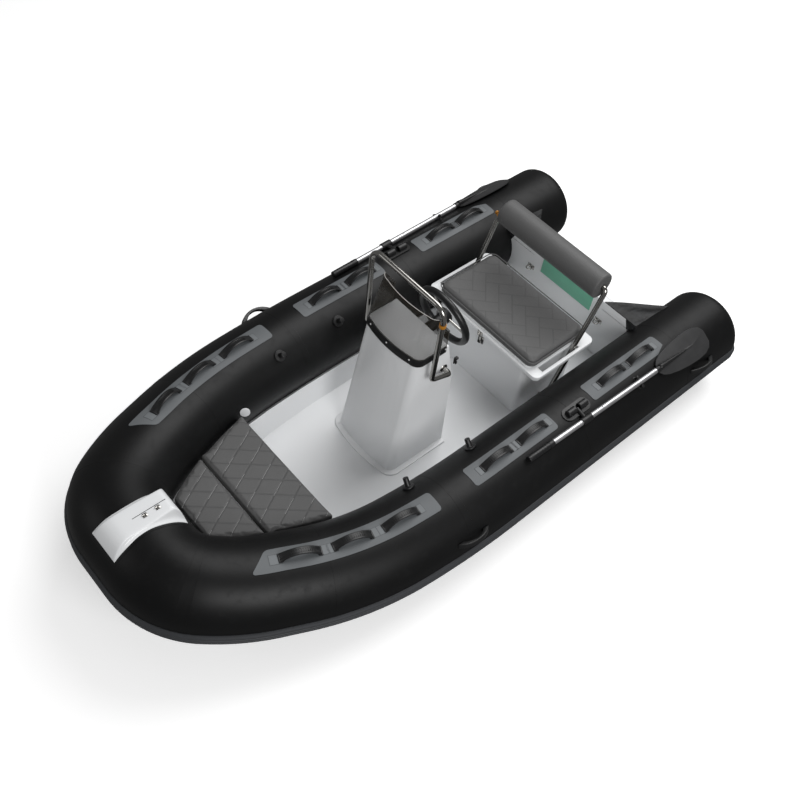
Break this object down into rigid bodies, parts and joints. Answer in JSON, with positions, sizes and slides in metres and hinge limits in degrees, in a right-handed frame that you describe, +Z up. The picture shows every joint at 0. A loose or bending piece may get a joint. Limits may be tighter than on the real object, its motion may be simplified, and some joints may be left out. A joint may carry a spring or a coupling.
{
  "type": "inflatable rib boat",
  "caption": "Small rigid-hulled inflatable boat with a centre console, windscreen, seat with folding backrest, bow cushions, grab handles and oars.",
  "frame": {"origin": "on the centreline at the waterline, at the aft face of the transom", "axes": "+X forward to the bow, +Y to port, +Z up"},
  "size_m": [3.396, 1.6896, 1.2585],
  "materials": {
    "aluminium": "bright drawn tube",
    "amber": "glossy moulded",
    "black_plastic": "matt moulded",
    "cushion_grey": "quilted marine vinyl",
    "fabric_black": "satin coated tube fabric",
    "gelcoat_white": "glossy gelcoat",
    "pad_grey": "matt coated fabric",
    "plate_green": "matt board",
    "smoked_acrylic": "clear smoked",
    "stainless": "polished tube",
    "strake_grey": "matt ribbed strake"
  },
  "bodies": {
    "root": {"air_valves": "black_plastic", "backrest_pins": "stainless", "bow_cushion_forward": "cushion_grey", "bow_locker": "gelcoat_white", "bow_plate": "gelcoat_white", "bow_tabs": "stainless", "carry_handles_port": "black_plastic", "carry_handles_starboard": "black_plastic", "console": "gelcoat_white", "console_rail": "stainless", "deck": "gelcoat_white", "grab_handles_port_aft": "black_plastic", "grab_handles_port_forward": "black_plastic", "grab_handles_port_mid": "black_plastic", "grab_handles_starboard_aft": "black_plastic", "grab_handles_starboard_forward": "black_plastic", "grab_handles_starboard_mid": "black_plastic", "gusset_flaps": "fabric_black", "hull": "gelcoat_white", "oar_blade_port": "black_plastic", "oar_blade_starboard": "black_plastic", "oar_clips": "black_plastic", "oar_grip_port": "black_plastic", "oar_grip_starboard": "black_plastic", "oar_shaft_port": "aluminium", "oar_shaft_starboard": "aluminium", "pads_port": "pad_grey", "pads_starboard": "pad_grey", "rail_knob": "amber", "rowlock_bases": "black_plastic", "rowlock_swivel_port": "black_plastic", "rowlock_swivel_starboard": "black_plastic", "rub_strake": "strake_grey", "seat_latch": "stainless", "seat_pod": "gelcoat_white", "steering_column": "black_plastic", "towing_eyes": "stainless", "transom": "gelcoat_white", "transom_plate": "plate_green", "tube_bow": "fabric_black", "tube_port": "fabric_black", "tube_starboard": "fabric_black", "windscreen": "smoked_acrylic"},
    "steering_wheel": {"wheel_rim": "black_plastic", "wheel_spokes": "black_plastic"},
    "backrest": {"backrest_frame": "stainless", "backrest_bolster": "cushion_grey", "frame_knobs": "amber"},
    "seat_lid": {"seat_lid": "gelcoat_white", "seat_cushion": "cushion_grey"},
    "bow_lid": {"bow_locker_lid": "gelcoat_white", "bow_cushion_aft": "cushion_grey"}
  },
  "joints": [
    {"name": "steering", "type": "hinge", "parent": "root", "child": "steering_wheel", "pos_m": [1.023, 0, 0.733], "axis": [-0.9744, 0, 0.225], "range_deg": [-540, 540]},
    {"name": "backrest_fold", "type": "hinge", "parent": "root", "child": "backrest", "pos_m": [0.515, 0, 0.082], "axis": [0, 1, 0], "range_deg": [0, 38]},
    {"name": "seat_lid_hinge", "type": "hinge", "parent": "root", "child": "seat_lid", "pos_m": [0.306, 0, 0.4163], "axis": [0, 1, 0], "range_deg": [-65, 0]},
    {"name": "bow_lid_hinge", "type": "hinge", "parent": "root", "child": "bow_lid", "pos_m": [1.922, 0, 0.2723], "axis": [0, 1, 0], "range_deg": [-100, 0]}
  ]
}
